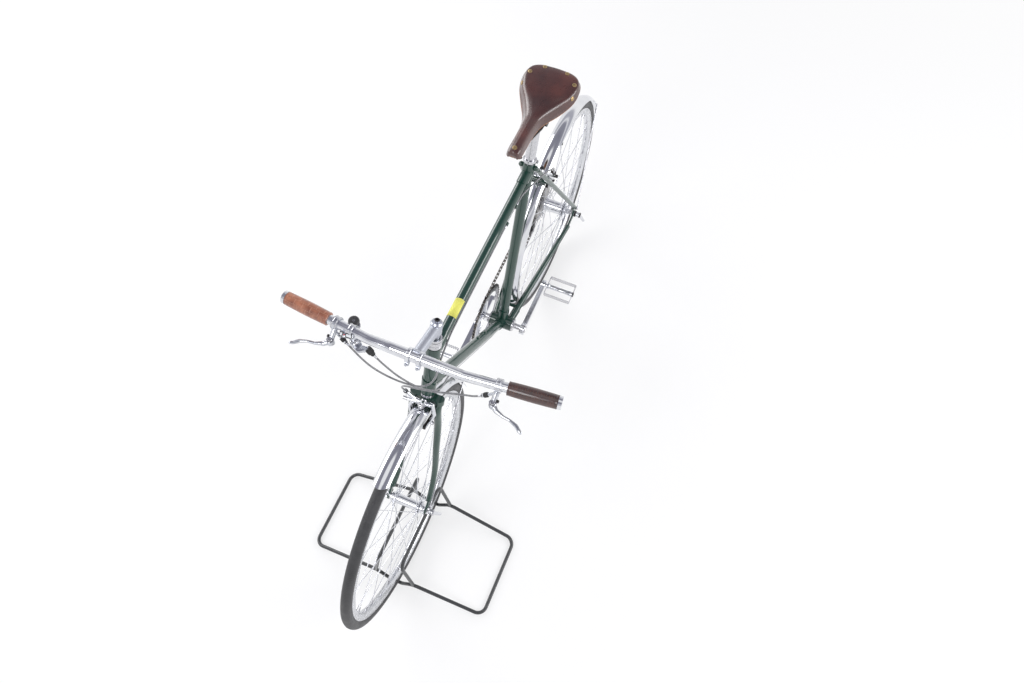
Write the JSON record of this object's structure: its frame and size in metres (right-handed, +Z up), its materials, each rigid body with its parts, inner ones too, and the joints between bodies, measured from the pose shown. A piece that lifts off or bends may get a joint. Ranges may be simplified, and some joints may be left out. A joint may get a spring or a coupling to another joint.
{
  "type": "city bicycle",
  "caption": "Lugged steel city bicycle with alloy mudguards and leather saddle, its front wheel held in a low wire floor stand.",
  "frame": {"origin": "on the ground in the centre plane, midway between the two wheel axles", "axes": "+X forward along the bicycle, +Y to the rider's left along the axles, +Z up"},
  "size_m": [1.718, 0.6468, 0.9879],
  "materials": {
    "frame_paint": "dark green enamel under a clear gloss coat",
    "polished_alloy": "polished",
    "bright_steel": "bright plated",
    "dark_steel": "oiled dark steel",
    "black_plastic": "fine matt",
    "saddle_leather": "waxed and burnished",
    "grip_leather": "hand-sewn, slightly worn",
    "tyre_rubber": "matt rubber",
    "stand_wire": "dark powder coat",
    "cable_housing": "plastic sheath"
  },
  "bodies": {
    "frame": {"head_tube": "frame_paint", "top_tube": "frame_paint", "down_tube": "frame_paint", "seat_tube": "frame_paint", "seat_lug": "frame_paint", "bottom_bracket_shell": "frame_paint", "bottom_bracket_cups": "bright_steel", "chainstays": "frame_paint", "seatstays": "frame_paint", "rear_dropouts": "frame_paint", "stay_bridges": "frame_paint", "headset_cups": "polished_alloy", "seatpost": "polished_alloy", "saddle_frame": "bright_steel", "saddle": "saddle_leather", "rear_mudguard": "polished_alloy", "rear_guard_stays": "bright_steel", "rear_brake": "polished_alloy", "rear_brake_pads": "black_plastic", "rear_skewer": "bright_steel", "rear_derailleur": "dark_steel", "chain": "dark_steel", "rear_brake_cable": "cable_housing", "gear_cable": "cable_housing"},
    "steering": {"fork": "frame_paint", "fork_blades": "frame_paint", "headset_nuts": "polished_alloy", "stem": "polished_alloy", "handlebar": "polished_alloy", "grips": "grip_leather", "grip_caps": "polished_alloy", "brake_lever_left": "polished_alloy", "brake_lever_right": "polished_alloy", "gear_shifter": "black_plastic", "front_brake": "polished_alloy", "front_brake_pads": "black_plastic", "front_mudguard": "polished_alloy", "front_guard_stays": "bright_steel", "front_skewer": "bright_steel", "stand_base": "stand_wire", "stand_hoops": "stand_wire", "front_brake_cable": "cable_housing"},
    "front_wheel": {"front_tyre": "tyre_rubber", "front_rim": "polished_alloy", "front_hub": "polished_alloy"},
    "rear_wheel": {"rear_tyre": "tyre_rubber", "rear_rim": "polished_alloy", "rear_hub": "polished_alloy", "cassette": "bright_steel"},
    "crank": {"crank_spindle": "bright_steel", "crank_left": "polished_alloy", "crank_right": "polished_alloy", "chainring": "polished_alloy"},
    "pedal_left_body": {"pedal_left": "polished_alloy"},
    "pedal_right_body": {"pedal_right": "polished_alloy"}
  },
  "joints": [
    {"name": "steering", "type": "hinge", "parent": "frame", "child": "steering", "pos_m": [0.32026, 0, 0.74474], "axis": [-0.3502, 0, 0.9367], "range_deg": [-60, 60], "deforming": ["rear_brake_cable", "gear_cable"]},
    {"name": "front_wheel_spin", "type": "hinge", "parent": "steering", "child": "front_wheel", "pos_m": [0.52, 0, 0.339], "axis": [0, 1, 0], "continuous": true},
    {"name": "rear_wheel_spin", "type": "hinge", "parent": "frame", "child": "rear_wheel", "pos_m": [-0.52, 0, 0.339], "axis": [0, 1, 0], "continuous": true},
    {"name": "crank_spin", "type": "hinge", "parent": "frame", "child": "crank", "pos_m": [-0.11196, 0, 0.269], "axis": [0, 1, 0], "continuous": true},
    {"name": "pedal_left_spin", "type": "hinge", "parent": "crank", "child": "pedal_left_body", "pos_m": [-0.28196, 0.1, 0.269], "axis": [0, 1, 0], "continuous": true},
    {"name": "pedal_right_spin", "type": "hinge", "parent": "crank", "child": "pedal_right_body", "pos_m": [0.05804, -0.1, 0.269], "axis": [0, 1, 0], "continuous": true}
  ]
}
